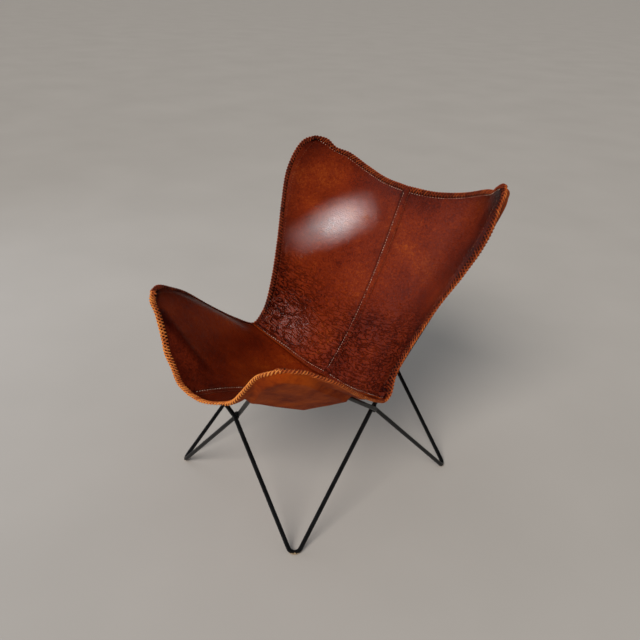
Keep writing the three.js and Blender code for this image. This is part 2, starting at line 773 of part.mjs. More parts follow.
// The heights of the top and of the bottom of what is held, at a distance in from the rim
function heldHeights({ place, normal, inward }, distance) {
  const origin = sum(place, inward, distance);
  const reach = (way) => {
    const ray = new THREE.Ray(origin, normal.clone().multiplyScalar(way));
    const hits = heldFacets.map(([a, b, c]) => ray.intersectTriangle(a, b, c, false, point(0, 0, 0)));
    const lengths = hits.filter(Boolean).map((hit) => hit.distanceTo(origin));
    return way * Math.max(0, ...lengths.filter((length) => length < castReach));
  };
  return [reach(1), reach(-1)];
}

function lacingRing(s, t, shift = 0) {
  const rim = rimStation(s, t);
  rim.place.addScaledVector(rim.travel, shift);
  const [rimTop, rimLow] = heldHeights(rim, lacingBorder + lacingPlay);
  const [lipTop] = heldHeights(rim, lacingWidth);
  const [, lipLow] = heldHeights(rim, lacingUnder);
  const profile = [
    [lacingWidth, lipTop + lacingWall],
    [lacingBorder, rimTop + lacingWall],
    [0, rimTop],
    [0, rimLow],
    [lacingBorder, rimLow - lacingWall],
    [lacingUnder, lipLow - lacingWall],
  ];
  return {
    ring: profile.map(([across, up]) => sum(sum(rim.place, rim.inward, across), rim.normal, up)),
    profile: profile.map(([across, up]) => new THREE.Vector2(across, up)),
  };
}

function sweep(stations) {
  const size = stations[0].ring.length;
  const vertices = stations.flatMap(({ ring }) => ring);
  const faces = [];
  for (let k = 0; k < stations.length - 1; k++) {
    for (let i = 0; i < size; i++) {
      const [a, b] = [k * size + i, k * size + (i + 1) % size];
      faces.push([a, b, b + size], [a, b + size, a + size]);
    }
  }
  const cap = (station, first) => THREE.ShapeUtils.triangulateShape(station.profile, [])
    .map((corner) => corner.map((i) => first + i));
  faces.push(...cap(stations[0], 0).map((corner) => corner.reverse()));
  faces.push(...cap(stations[stations.length - 1], vertices.length - size));
  return closedGeometry(vertices, faces);
}

const endGap = clearance / 2;
const rightColumns = Array.from({ length: columnCount }, (_, i) => i);
const frontRings = rightColumns.map((i) => lacingRing(columnShare(i, 0), 0, i === lastColumn ? -endGap : 0));
const topRings = rightColumns.map((i) => lacingRing(columnShare(i, 1), 1, i === lastColumn ? endGap : 0));
const sideRings = [...seatSteps, ...backSteps.slice(2)].map((t) => {
  return lacingRing(1, t, t === 0 ? endGap : t === 1 ? -endGap : 0);
});
const flipped = ({ ring, profile }) => ({ ring: ring.map(mirror), profile });
function grooved(bead) {
  const rest = heldSolids.reduce((solid, layer) => solid.subtract(layer), solidOf(bead));
  const bodies = rest.decompose().sort((a, b) => b.volume() - a.volume());
  return geometryOf(bodies[0]);
}
const frontBead = sweep([...frontRings.slice(1).reverse().map(flipped), ...frontRings]);
const topBead = sweep([...topRings.slice(1).reverse(), ...topRings.map(flipped)]);
const sideBead = sweep(sideRings);
addMesh('edge_lacing_front', grooved(frontBead), lacingLeather);
addMesh('edge_lacing_top', grooved(topBead), lacingLeather);
addMesh('edge_lacing_right', grooved(sideBead), lacingLeather);
addMesh('edge_lacing_left', grooved(mirrored(sideBead)), lacingLeather);

export default chair;
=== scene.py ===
import json
import math

import bpy
import numpy as np
from mathutils import Matrix

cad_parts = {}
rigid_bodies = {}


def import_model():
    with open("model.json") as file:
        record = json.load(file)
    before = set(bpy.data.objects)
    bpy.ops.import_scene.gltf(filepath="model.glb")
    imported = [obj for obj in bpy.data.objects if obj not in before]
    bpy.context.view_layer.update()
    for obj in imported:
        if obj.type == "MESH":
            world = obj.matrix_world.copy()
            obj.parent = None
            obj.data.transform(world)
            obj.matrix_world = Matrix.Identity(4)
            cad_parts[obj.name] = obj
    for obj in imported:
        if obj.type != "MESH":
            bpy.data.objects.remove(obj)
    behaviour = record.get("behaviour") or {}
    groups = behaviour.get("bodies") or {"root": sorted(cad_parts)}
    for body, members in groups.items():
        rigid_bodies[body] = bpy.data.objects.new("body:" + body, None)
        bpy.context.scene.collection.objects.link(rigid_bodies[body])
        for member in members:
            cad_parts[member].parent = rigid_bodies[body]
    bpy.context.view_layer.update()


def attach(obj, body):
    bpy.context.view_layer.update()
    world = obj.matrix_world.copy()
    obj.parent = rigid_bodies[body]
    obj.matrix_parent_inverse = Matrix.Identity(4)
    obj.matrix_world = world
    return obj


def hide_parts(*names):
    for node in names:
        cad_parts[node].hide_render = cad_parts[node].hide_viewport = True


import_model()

rng = np.random.RandomState(7)
mm = 0.001

# s runs across the sling from -1 to 1, and t along it from 0 at the front to 1 at the top
spanS, spanT = 290, 1115  # millimetres of flat leather for one s and for one t

# the same places, in millimetres, that the solids are made from
tips = {
    "front": {"corner": (292, -377, 642), "ends": ((0, -262.77, 301.68), (225.74, 24.36, 309.1)),
              "bend": 50, "sitting": (-1, 1, 1)},
    "back": {"corner": (400, 372, 1024), "ends": ((225.74, 24.36, 309.1), (0, 304.86, 316.37)),
             "bend": 47, "sitting": (-1, -1, 1)},
    "frontUnder": {"corner": (292, -377, 642), "ends": ((0, -275.23, 300.32), (238.26, 23.64, 308.9)),
                   "bend": 50, "sitting": (-1, 1, 1)},
    "backUnder": {"corner": (400, 372, 1024), "ends": ((238.26, 23.64, 308.9), (0, 317.14, 315.63)),
                  "bend": 47, "sitting": (-1, -1, 1)},
}
sling = {
    "thickness": 3.2, "seam": 0.45, "waist": 0.40332, "middle": 0.45292, "flank": 0.35, "lift": 8.65,
    "foldFlat": 20, "outerFold": 1.0, "innerFold": 0.4, "foldRound": 0.35, "foldEase": 0.9,
    "tipMargin": 24, "tipEdgeLift": 2, "rodRadius": 6,
}
lineSteps = 60  # samples in each span of a line


def toLinear(hexColour):
    parts = [int(hexColour[k:k + 2], 16) / 255 for k in (1, 3, 5)]
    return tuple(p / 12.92 if p <= 0.04045 else ((p + 0.055) / 1.055) ** 2.4 for p in parts) + (1.0,)


def unit(v):
    return v / np.maximum(np.linalg.norm(v, axis=-1, keepdims=True), 1e-12)


def smooth(x):
    x = np.clip(x, 0, 1)
    return x * x * (3 - 2 * x)


def lengthAlong(points):
    return np.concatenate([[0], np.cumsum(np.linalg.norm(np.diff(points, axis=0), axis=1))])


def readAt(far, along, values):
    return np.stack([np.interp(far, along, values[:, k]) for k in range(3)], -1)


class Line:
    # a smooth line through points, read by its share of the length
    def __init__(self, points):
        p = np.array(points, float)
        p = np.vstack([2 * p[0] - p[1], p, 2 * p[-1] - p[-2]])
        rows = []
        w = np.linspace(0, 1, lineSteps, endpoint=False)[:, None]
        for i in range(1, len(p) - 2):
            a, b, c, d = p[i - 1:i + 3]
            near, mid, far = [max(np.linalg.norm(y - x), 1e-9) ** 0.5 for x, y in ((a, b), (b, c), (c, d))]
            u = ((b - a) / near - (c - a) / (near + mid) + (c - b) / mid) * mid
            v = ((c - b) / mid - (d - b) / (mid + far) + (d - c) / far) * mid
            square, cube = -3 * b + 3 * c - 2 * u - v, 2 * b - 2 * c + u + v
            rows.append(b + u * w + square * w ** 2 + cube * w ** 3)
        self.points = np.vstack(rows + [p[-2:-1]])
        self.along = lengthAlong(self.points)
        self.length = self.along[-1]

    def at(self, share):
        return readAt(np.asarray(share, float) * self.length, self.along, self.points)


# the tips that the sling hangs from
def makeTip(plan):
    corner, endA, endB = [np.array(p, float) for p in (plan["corner"], *plan["ends"])]
    a, b = unit(endA - corner), unit(endB - corner)
    half = math.acos(a @ b) / 2
    inward, across = unit(a + b), unit(b - a)
    radius = plan["bend"]
    centre = corner + inward * radius / math.sin(half)
    normal = unit(np.cross(inward, across))
    normal = normal if normal @ np.array(plan["sitting"]) > 0 else -normal
    turn = math.pi / 2 - half
    angles = np.linspace(-turn, turn, 11)[:, None]
    arc = centre - inward * radius * np.cos(angles) + across * radius * np.sin(angles)
    rods = np.vstack([endA, arc, endB])
    size = radius + sling["tipMargin"]
    lift = normal * sling["tipEdgeLift"]
    lobe = [centre - inward * size * math.cos(r) + across * size * math.sin(r) + lift
            for r in np.radians((-60, -30, 0, 30, 60))]
    side = np.sign(np.cross(rods[1] - rods[0], normal) @ (endB - endA))
    return {"normal": normal, "rods": rods, "lobe": lobe, "turn": side}


tipOf = {name: makeTip(plan) for name, plan in tips.items()}
frontTip, backTip = tipOf["front"], tipOf["back"]


def between(a, b, rows, bulge=(0, 0, 0)):
    a, b, bulge = [np.array(p, float) for p in (a, b, bulge)]
    return [a + (b - a) * np.array(r[:3]) + bulge * (r[3] if len(r) > 3 else 0) for r in rows]


frontMiddle, seatLow, seamMiddle = (0, -411, 433), (0, -5, 286), (0, 66, 292)
topMiddle, waist = (0, 380, 808), (282, 13, 367)
humpPlaces = [(.25, .07, .04), (.54, .48, .18), (.78, .66, .44)]
frontEdge = Line([frontMiddle] + between(frontMiddle, frontTip["lobe"][0], humpPlaces)
                 + frontTip["lobe"][:3])
armPlaces = [(.23, .23, .2, 1), (.52, .52, .55, .95), (.8, .8, .85, .5)]
wingPlaces = [(-.02, .16, .07), (.07, .31, .24), (.34, .49, .47), (.78, .69, .68), (1.03, .85, .87)]
sideEdge = Line(frontTip["lobe"][2:] + between(frontTip["lobe"][-1], waist, armPlaces, (24, 0, 0)) + [waist]
                + between(waist, backTip["lobe"][0], wingPlaces) + backTip["lobe"][:3])
topPlaces = [(.32, .32, .04, .5), (.62, .62, .33, 1), (.86, .86, .78, .8)]
topEdge = Line([topMiddle] + between(topMiddle, backTip["lobe"][-1], topPlaces, (0, 27, 0))
               + backTip["lobe"][2:][::-1])
backPlaces = [(0, .12, .07), (0, .21, .13), (0, .31, .21), (0, .44, .32), (0, .56, .43), (0, .68, .56),
              (0, .75, .68), (0, .82, .77), (0, .9, .88)]
seatPlaces = [(0, .175, .15), (0, .37, .38), (0, .59, .65), (0, .8, .88)]
middleLine = Line([frontMiddle] + between(frontMiddle, seatLow, seatPlaces) + [seatLow]
                  + between(seatLow, seamMiddle, [(0, .5, .1)]) + [seamMiddle]
                  + between(seamMiddle, topMiddle, backPlaces) + [topMiddle])
seamPlaces = [(.21, 0, -.05), (.43, .04, .02), (.58, .23, .24), (.73, .53, .5), (.87, .81, .77)]
seamLine = Line([seamMiddle] + between(seamMiddle, waist, seamPlaces) + [waist])


def warp(t, share):
    seam = sling["seam"]
    return np.where(t < seam, t / seam * share, share + (t - seam) / (1 - seam) * (1 - share))


def flank(s, t):
    # across the seat the sling sags as a bowl, higher up its flanks are drawn straight
    bowl = s * s
    straight = (np.sqrt(1 + (s / sling["flank"]) ** 2) - 1) / (math.sqrt(1 + sling["flank"] ** -2) - 1)
    return bowl + (straight - bowl) * smooth((t - 0.5) / 0.2)


def loft(s, t):
    side, middle = sideEdge.at(warp(t, sling["waist"])), middleLine.at(warp(t, sling["middle"]))
    place = middle + (side - middle) * flank(s, t)[..., None]
    place[..., 0] = side[..., 0] * s
    return place


def overRods(place, tip):
    height = (place - tip["rods"][0]) @ tip["normal"]
    foot = place - height[..., None] * tip["normal"]
    best = np.full(height.shape, 1e9)
    inside = np.zeros(height.shape, bool)
    for a, b in zip(tip["rods"][:-1], tip["rods"][1:]):
        d = b - a
        k = np.clip(((foot - a) @ d) / (d @ d), 0, 1)
        away = foot - a - k[..., None] * d
        distance = np.linalg.norm(away, axis=-1)
        nearer = distance < best
        inside = np.where(nearer, (away @ np.cross(d, tip["normal"])) * tip["turn"] > 0, inside)
        best = np.minimum(best, distance)
    return height, best, inside


def drape(place, tip):
    height, distance, inside = overRods(place, tip)
    away = np.maximum(0, distance - sling["foldFlat"])
    fold = sling["lift"] - np.where(inside, sling["innerFold"], sling["outerFold"]) * away
    soft = sling["foldFlat"] * sling["foldRound"] + np.where(inside, sling["foldEase"] * away, 0)
    excess = height - fold
    blend = np.maximum(soft - np.abs(excess), 0) / soft
    return place + (np.maximum(-excess, 0) + blend * blend * soft / 4)[..., None] * tip["normal"]


def draped(s, t):
    seam = sling["seam"]
    place = loft(s, t)
    frontWeight, topWeight = 1 - smooth(t / seam), smooth((t - seam) / (1 - seam))
    for line, edge, weight in ((frontEdge, 0, frontWeight), (topEdge, 1, topWeight),
                               (seamLine, seam, 1 - frontWeight - topWeight)):
        place = place + (line.at(s) - loft(s, np.full_like(t, edge))) * weight[..., None]
    return drape(drape(place, frontTip), backTip)


# leather under tension evens itself out, and the rods only hold it up where it touches them
relax = {"rounds": 320, "holdEvery": 5, "columns": 81, "rows": 161, "reach": 34, "radius": 45,
         "rimFade": 0.08, "endFade": 0.06, "backStart": 0.5, "backFade": 0.14,
         "armShare": 0.6, "armStart": 70, "armFade": 90}


def heldUp(place, tip):
    height, distance, _ = overRods(place, tip)
    needed = sling["lift"] - distance ** 2 / (2 * relax["radius"])
    low = np.where(distance < relax["reach"], np.maximum(needed - height, 0), 0)
    return place + low[..., None] * tip["normal"]


def relaxedGrid():
    s = np.linspace(0, 1, relax["columns"])[None, :]
    t = np.linspace(0, 1, relax["rows"])[:, None]
    s, t = np.broadcast_arrays(s, t)
    grid = draped(s, t)
    free = smooth((1 - s) / relax["rimFade"])
    free = free * smooth(t / relax["endFade"]) * smooth((1 - t) / relax["endFade"])
    fromRod = overRods(grid, frontTip)[1]
    arm = 1 - smooth((fromRod - relax["armStart"]) / relax["armFade"])
    arm = relax["armShare"] * arm * (t < sling["seam"])
    free = (free * np.maximum(smooth((t - relax["backStart"]) / relax["backFade"]), arm))[..., None]
    held = (smooth((t - 0.02) / relax["rimFade"]) * (free[..., 0] > 0))[..., None]
    for turn in range(relax["rounds"]):
        left = np.concatenate([grid[:, 1:2] * (-1, 1, 1), grid[:, :-1]], 1)
        right = np.concatenate([grid[:, 1:], grid[:, -1:]], 1)
        low = np.concatenate([grid[:1], grid[:-1]])
        high = np.concatenate([grid[1:], grid[-1:]])
        grid = grid + free * ((left + right + low + high) / 4 - grid)
        if (turn + 1) % relax["holdEvery"] == 0:
            grid = grid + (heldUp(heldUp(grid, backTip), frontTip) - grid) * held
    wide = np.concatenate([2 * grid[:1] - grid[1:2], grid, 2 * grid[-1:] - grid[-2:-1]])
    return np.concatenate([wide[:, 1:2] * (-1, 1, 1), wide, 2 * wide[:, -1:] - wide[:, -2:-1]], 1)


slingGrid = relaxedGrid()


def cubic(u):
    return [(-u + 2 * u ** 2 - u ** 3) / 2, (2 - 5 * u ** 2 + 3 * u ** 3) / 2,
            (u + 4 * u ** 2 - 3 * u ** 3) / 2, (u ** 3 - u ** 2) / 2]


def surface(s, t):
    s, t = np.broadcast_arrays(np.asarray(s, float), np.asarray(t, float))
    x, y = np.abs(s) * (relax["columns"] - 1), t * (relax["rows"] - 1)
    i = np.clip(np.floor(x).astype(int), 0, relax["columns"] - 2)
    j = np.clip(np.floor(y).astype(int), 0, relax["rows"] - 2)
    place = 0
    for b, down in enumerate(cubic(y - j)):
        for a, across in enumerate(cubic(x - i)):
            place = place + (down * across)[..., None] * slingGrid[j + b, i + a]
    place[..., 0] *= np.where(s < 0, -1, 1)
    return place


def normalAt(s, t):
    s, t = np.broadcast_arrays(np.asarray(s, float), np.asarray(t, float))
    step = 0.002
    low, high = np.clip(t - step, 0, 1), np.clip(t + step, 0, 1)
    left, right = np.clip(s - step, -1, 1), np.clip(s + step, -1, 1)
    return unit(np.cross(surface(right, t) - surface(left, t), surface(s, high) - surface(s, low)))


# leather creases as heights over the surface, from seeded noise
patches = [rng.rand(64, 64) for _ in range(6)]


def noise(x, y, which=0):
    x, y = np.broadcast_arrays(np.asarray(x, float), np.asarray(y, float))
    i, j = np.floor(x).astype(int), np.floor(y).astype(int)
    u, v = smooth(x - i), smooth(y - j)
    p = patches[which]
    a, b = p[j % 64, i % 64], p[j % 64, (i + 1) % 64]
    c, d = p[(j + 1) % 64, i % 64], p[(j + 1) % 64, (i + 1) % 64]
    return (a * (1 - u) + b * u) * (1 - v) + (c * (1 - u) + d * u) * v - 0.5


creases = {"pitch": 17, "height": 0.9, "length": 60, "low": 0.45, "full": 0.54, "high": 0.66,
           "seatSag": 4, "sag": 0.8}


def creaseHeight(s, t):
    x, y = s * spanS, t * spanT
    fade = creases["high"] - creases["full"]
    zone = smooth((t - creases["low"]) / 0.02) * (1 - smooth((t - creases["full"]) / fade))
    zone = zone * (0.35 + 0.65 * smooth((np.abs(s) - 0.3) / 0.4))
    bend = 24 * noise(x / 95, y / 120, 1) + 10 * noise(x / 37, y / 60, 2)
    folds = noise(x / creases["length"], (y + bend) / creases["pitch"], 0)
    ridges = np.clip(0.5 - np.abs(folds) * 2.6, -0.3, 0.5) * creases["height"]
    seat = 1 - smooth((t - 0.40) / 0.05)
    sag = noise(x / 130, y / 150, 4) * creases["seatSag"] * seat + noise(x / 70, y / 80, 5) * creases["sag"]
    edge = 1 - smooth((np.abs(s) - 0.9) / 0.08)
    ends = smooth(t / 0.03) * smooth((1 - t) / 0.03)
    return (ridges * zone + sag) * edge * ends


# where the hide is crumpled: all of the lower back, most of all at its sides
crumple = {"start": 0.445, "full": 0.56, "fade": 0.17, "middle": 0.62, "least": 0.05, "most": 0.9}


def wrinkleZone(s, t):
    low = smooth((t - crumple["start"]) / 0.02) * (1 - smooth((t - crumple["full"]) / crumple["fade"]))
    side = crumple["middle"] + (1 - crumple["middle"]) * smooth((np.abs(s) - 0.35) / 0.4)
    return crumple["least"] + crumple["most"] * low * side * (0.8 + 0.5 * noise(s * 5, t * 14, 3))


def newMesh(name, points, faces):
    mesh = bpy.data.meshes.new(name)
    mesh.from_pydata([tuple(p) for p in np.asarray(points) * mm], [], faces)
    mesh.polygons.foreach_set("use_smooth", [True] * len(mesh.polygons))
    piece = bpy.data.objects.new(name, mesh)
    bpy.context.scene.collection.objects.link(piece)
    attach(piece, "root")
    return piece


def gridSheet(name, points, normals, uv, half):
    # a sheet with two faces and walls, from a grid of places on its middle
    rows, columns = points.shape[:2]
    half = np.broadcast_to(half, points.shape[:2])[..., None]
    top = (points + normals * half).reshape(-1, 3)
    low = (points - normals * half).reshape(-1, 3)
    k = rows * columns
    at = np.arange(k).reshape(rows, columns).tolist()
    faces, kinds = [], []
    for near, far in zip(at[:-1], at[1:]):
        for a, b, c, d in zip(near[:-1], near[1:], far[1:], far[:-1]):
            faces.append((a, b, c, d))
            faces.append((a + k, d + k, c + k, b + k))
            kinds += [0, 1]
    ring = at[0] + [row[-1] for row in at[1:]] + at[-1][-2::-1] + [row[0] for row in at[-2:0:-1]]
    for a, b in zip(ring, ring[1:] + ring[:1]):
        faces.append((a, a + k, b + k, b))
        kinds.append(1)
    piece = newMesh(name, np.vstack([top, low]), faces)
    flat = np.vstack([uv.reshape(-1, 2)] * 2)
    layer = piece.data.uv_layers.new(name="flatLeather")
    corners = np.empty(len(piece.data.loops), int)
    piece.data.loops.foreach_get("vertex_index", corners)
    layer.data.foreach_set("uv", (flat[corners] * mm).ravel())
    piece.data.polygons.foreach_set("material_index", kinds)
    return piece


print("surface ready")


# materials, from here to the panels
def perMetre(size):
    return 1000 / size  # a pattern's scale from the size of its parts in millimetres


def setInputs(tree, node, inputs):
    for key, value in inputs.items():
        if isinstance(value, bpy.types.NodeSocket):
            tree.links.new(value, node.inputs[key])
        else:
            node.inputs[key].default_value = value


def addNode(tree, kind, settings=None, inputs=None, stops=None):
    node = tree.nodes.new(kind)
    for key, value in (settings or {}).items():
        setattr(node, key, value)
    setInputs(tree, node, inputs or {})
    if stops:
        points = node.color_ramp.elements
        while len(points) < len(stops):
            points.new(0.5)
        for point, (place, colour) in zip(points, stops):
            point.position = place
            point.color = toLinear(colour)
    return node


def newMaterial(name):
    material = bpy.data.materials.new(name)
    material.use_nodes = True
    tree = material.node_tree
    where = addNode(tree, "ShaderNodeTexCoord").outputs
    return material, tree, tree.nodes["Principled BSDF"], where


# sizes and depths in millimetres; real grain is under 1 mm, too fine to show, so it is drawn at 2.3
hide = {
    "tones": [(0.34, "#3c0d04"), (0.45, "#611b05"), (0.56, "#792706"), (0.68, "#96410f")],
    # the dull brown multiplied into the tones is painted shade
    "worn": "#6a3c36", "cloud": 166.7, "fleck": 8, "wrinkleLength": 27.78, "wrinklePitch": 10.417,
    "grain": 2.326, "wrinkleDepth": 4.2, "grainDepth": 1.7, "roughness": (0.29, 0.44),
}


# vegetable-tanned cowhide, waxed and polished by use: deep reddish brown, hand-dyed in fine flecks, with a
# grain that breaks up its highlights and a net of wrinkles where the sling bends
def waxedHide(name):
    material, tree, shader, where = newMaterial(name)
    cloud = addNode(tree, "ShaderNodeTexNoise", inputs={
        "Vector": where["Object"], "Scale": perMetre(hide["cloud"]), "Detail": 3.0, "Roughness": 0.5})
    fleck = addNode(tree, "ShaderNodeTexNoise", inputs={
        "Vector": where["Object"], "Scale": perMetre(hide["fleck"]), "Detail": 4.0, "Roughness": 0.6,
        "Distortion": 1.4})
    cloudPart = addNode(tree, "ShaderNodeMath", {"operation": "MULTIPLY"}, {
        0: cloud.outputs["Fac"], 1: 0.5})
    tone = addNode(tree, "ShaderNodeMath", {"operation": "MULTIPLY_ADD"}, {
        0: fleck.outputs["Fac"], 1: 0.5, 2: cloudPart.outputs[0]})
    base = addNode(tree, "ShaderNodeValToRGB", inputs={"Fac": tone.outputs[0]}, stops=hide["tones"])

    # grooves about 9 mm apart, drawn out along the seam, as deep as the wrinkle attribute says
    stretch = (perMetre(hide["wrinkleLength"]), perMetre(hide["wrinklePitch"]), 1.0)
    drawn = addNode(tree, "ShaderNodeMapping", inputs={"Vector": where["UV"], "Scale": stretch})
    waves = addNode(tree, "ShaderNodeTexNoise", inputs={
        "Vector": drawn.outputs["Vector"], "Scale": 1.0, "Detail": 2.5, "Roughness": 0.5,
        "Distortion": 0.25})
    centred = addNode(tree, "ShaderNodeMath", {"operation": "SUBTRACT"}, {0: waves.outputs["Fac"], 1: 0.5})
    bent = addNode(tree, "ShaderNodeMath", {"operation": "ABSOLUTE"}, {0: centred.outputs[0]})
    groove = addNode(tree, "ShaderNodeMapRange", {"interpolation_type": "SMOOTHSTEP"}, {
        "Value": bent.outputs[0], "From Min": 0.0, "From Max": 0.06, "To Min": 1.0, "To Max": 0.0})
    wrinkle = addNode(tree, "ShaderNodeAttribute", {"attribute_name": "wrinkle"})
    depth = addNode(tree, "ShaderNodeMath", {"operation": "MULTIPLY"}, {
        0: groove.outputs["Result"], 1: wrinkle.outputs["Fac"]})
    # the grooves and the shade attribute multiply the colour darker: painted shade in the wrinkles, creases
    # and seams, along the rims, at the upper tip, on the seat and over the front rod
    shade = addNode(tree, "ShaderNodeAttribute", {"attribute_name": "shade"})
    dark = addNode(tree, "ShaderNodeMath", {"operation": "MULTIPLY_ADD", "use_clamp": True}, {
        0: depth.outputs[0], 1: 0.95, 2: shade.outputs["Fac"]})
    worn = addNode(tree, "ShaderNodeMix", {"data_type": "RGBA", "blend_type": "MULTIPLY"}, {
        "Factor": dark.outputs[0], 6: base.outputs["Color"], 7: toLinear(hide["worn"])})

    sunk = addNode(tree, "ShaderNodeBump", {"invert": True}, {
        "Height": depth.outputs[0], "Strength": 1.0, "Distance": hide["wrinkleDepth"] * mm})
    grain = addNode(tree, "ShaderNodeTexVoronoi", inputs={
        "Vector": where["UV"], "Scale": perMetre(hide["grain"])})
    height = addNode(tree, "ShaderNodeMath", {"operation": "MULTIPLY_ADD"}, {
        0: grain.outputs["Distance"], 1: 0.3, 2: fleck.outputs["Fac"]})
    bump = addNode(tree, "ShaderNodeBump", inputs={
        "Height": height.outputs[0], "Strength": 0.9, "Distance": hide["grainDepth"] * mm,
        "Normal": sunk.outputs["Normal"]})
    glossy, dull = hide["roughness"]
    rough = addNode(tree, "ShaderNodeMapRange", inputs={
        "Value": fleck.outputs["Fac"], "From Min": 0.3, "From Max": 0.7, "To Min": glossy, "To Max": dull})
    setInputs(tree, shader, {
        "Base Color": worn.outputs[2], "Normal": bump.outputs["Normal"],
        "Roughness": rough.outputs["Result"], "IOR": 1.5, "Specular IOR Level": 0.22})
    return material


# the flesh side of the same hide: matt, napped, orange tan; its fibres are drawn at 1.6 mm to show at all
def fleshSide(name, dark, light):
    material, tree, shader, where = newMaterial(name)
    nap = addNode(tree, "ShaderNodeTexNoise", inputs={
        "Vector": where["Object"], "Scale": perMetre(62.5), "Detail": 8.0, "Roughness": 0.7})
    tan = addNode(tree, "ShaderNodeValToRGB", inputs={"Fac": nap.outputs["Fac"]}, stops=[
        (0.36, dark), (0.66, light)])
    fibres = addNode(tree, "ShaderNodeTexNoise", inputs={
        "Vector": where["Object"], "Scale": perMetre(1.613), "Detail": 3.0, "Roughness": 0.6})
    bump = addNode(tree, "ShaderNodeBump", inputs={
        "Height": fibres.outputs["Fac"], "Strength": 0.35, "Distance": 0.8 * mm})
    setInputs(tree, shader, {
        "Base Color": tan.outputs["Color"], "Normal": bump.outputs["Normal"], "Roughness": 0.78,
        "Specular IOR Level": 0.12})
    return material


# thong cut from the same hide: dyed on its face, raw tan at its edges, each turn a little lighter or
# darker, with specks of 4 mm
def cutThong(name, tones):
    material, tree, shader, where = newMaterial(name)
    # the turn attribute also carries the lacing's painted highlight and painted shade
    turn = addNode(tree, "ShaderNodeAttribute", {"attribute_name": "turn"})
    speck = addNode(tree, "ShaderNodeTexNoise", inputs={
        "Vector": where["Object"], "Scale": perMetre(3.846), "Detail": 4.0, "Roughness": 0.6})
    uneven = addNode(tree, "ShaderNodeMapRange", inputs={
        "Value": speck.outputs["Fac"], "From Min": 0.3, "From Max": 0.7, "To Min": -0.1, "To Max": 0.1})
    mixed = addNode(tree, "ShaderNodeMath", {"operation": "ADD"}, {
        0: uneven.outputs["Result"], 1: turn.outputs["Fac"]})
    dye = addNode(tree, "ShaderNodeValToRGB", inputs={"Fac": mixed.outputs[0]}, stops=tones)
    bump = addNode(tree, "ShaderNodeBump", inputs={
        "Height": speck.outputs["Fac"], "Strength": 0.4, "Distance": 0.6 * mm})
    setInputs(tree, shader, {
        "Base Color": dye.outputs["Color"], "Normal": bump.outputs["Normal"], "Roughness": 0.58,
        "Specular IOR Level": 0.14})
    return material


# waxed linen thread: dull and uneven in colour from stitch to stitch, over 14 mm
def waxedThread(name, dark, light):
    material, tree, shader, where = newMaterial(name)
    wax = addNode(tree, "ShaderNodeTexNoise", inputs={
        "Vector": where["Object"], "Scale": perMetre(14.29), "Detail": 3.0})
    linen = addNode(tree, "ShaderNodeValToRGB", inputs={"Fac": wax.outputs["Fac"]}, stops=[
        (0.35, dark), (0.65, light)])
    setInputs(tree, shader, {"Base Color": linen.outputs["Color"], "Roughness": 0.6})
    return material


# sizes in millimetres; a coat's real texture is under 1 mm, too fine to show, so it is drawn at 1.9
coat = {"peel": 1.923, "chip": 5.263, "dust": 33.33, "bareBelow": 3.5, "paintAbove": 12,
        "tones": [(0.3, "#0c0d0e"), (0.75, "#151618")], "bare": "#a08a6c"}


# powder-coated mild steel: smooth, semi-gloss black, rubbed to bare metal under the feet
def powderCoat(name):
    material, tree, shader, where = newMaterial(name)
    peel = addNode(tree, "ShaderNodeTexNoise", inputs={
        "Vector": where["Object"], "Scale": perMetre(coat["peel"]), "Detail": 3.0})
    bump = addNode(tree, "ShaderNodeBump", inputs={
        "Height": peel.outputs["Fac"], "Strength": 0.12, "Distance": 0.4 * mm})
    height = addNode(tree, "ShaderNodeSeparateXYZ", inputs={0: where["Object"]})
    chips = addNode(tree, "ShaderNodeTexNoise", inputs={
        "Vector": where["Object"], "Scale": perMetre(coat["chip"]), "Detail": 6.0, "Roughness": 0.7})
    reach = addNode(tree, "ShaderNodeMapRange", inputs={
        "Value": height.outputs["Z"], "From Min": coat["bareBelow"] * mm,
        "From Max": coat["paintAbove"] * mm, "To Min": 0.34, "To Max": -0.25})
    rubbed = addNode(tree, "ShaderNodeMath", {"operation": "ADD"}, {
        0: chips.outputs["Fac"], 1: reach.outputs["Result"]})
    bare = addNode(tree, "ShaderNodeMapRange", inputs={
        "Value": rubbed.outputs[0], "From Min": 0.56, "From Max": 0.64})
    dust = addNode(tree, "ShaderNodeTexNoise", inputs={
        "Vector": where["Object"], "Scale": perMetre(coat["dust"]), "Detail": 4.0})
    paint = addNode(tree, "ShaderNodeValToRGB", inputs={"Fac": dust.outputs["Fac"]}, stops=coat["tones"])
    colour = addNode(tree, "ShaderNodeMix", {"data_type": "RGBA"}, {
        "Factor": bare.outputs["Result"], 6: paint.outputs["Color"], 7: toLinear(coat["bare"])})
    rough = addNode(tree, "ShaderNodeMapRange", inputs={
        "Value": dust.outputs["Fac"], "From Min": 0.3, "From Max": 0.7, "To Min": 0.3, "To Max": 0.42})
    setInputs(tree, shader, {
        "Base Color": colour.outputs[2], "Normal": bump.outputs["Normal"],
        "Roughness": rough.outputs["Result"], "Specular IOR Level": 0.24})
    return material


sittingHide = waxedHide("waxedCowhide")
undersideHide = fleshSide("cowhideFleshSide", "#641d04", "#9a3e08")
pocketHide = fleshSide("pocketHide", "#702506", "#a8480c")
thong = cutThong("dyedThong", [
    (0.05, "#140705"), (0.3, "#3a140b"), (0.52, "#702a12"), (0.76, "#a85425"), (1.0, "#dd8e45")])
paleThread = waxedThread("paleLinenThread", "#8a5038", "#e6cdb8")
darkThread = waxedThread("brownLinenThread", "#4a1c10", "#94583e")
rodPaint = powderCoat("blackPowderCoat")

for solid in bpy.context.scene.objects:
    if solid.name.startswith(("leg_", "arm_rod_", "back_rod_", "weld_")):
        for slot in solid.material_slots:
            slot.material = rodPaint
print("materials ready")


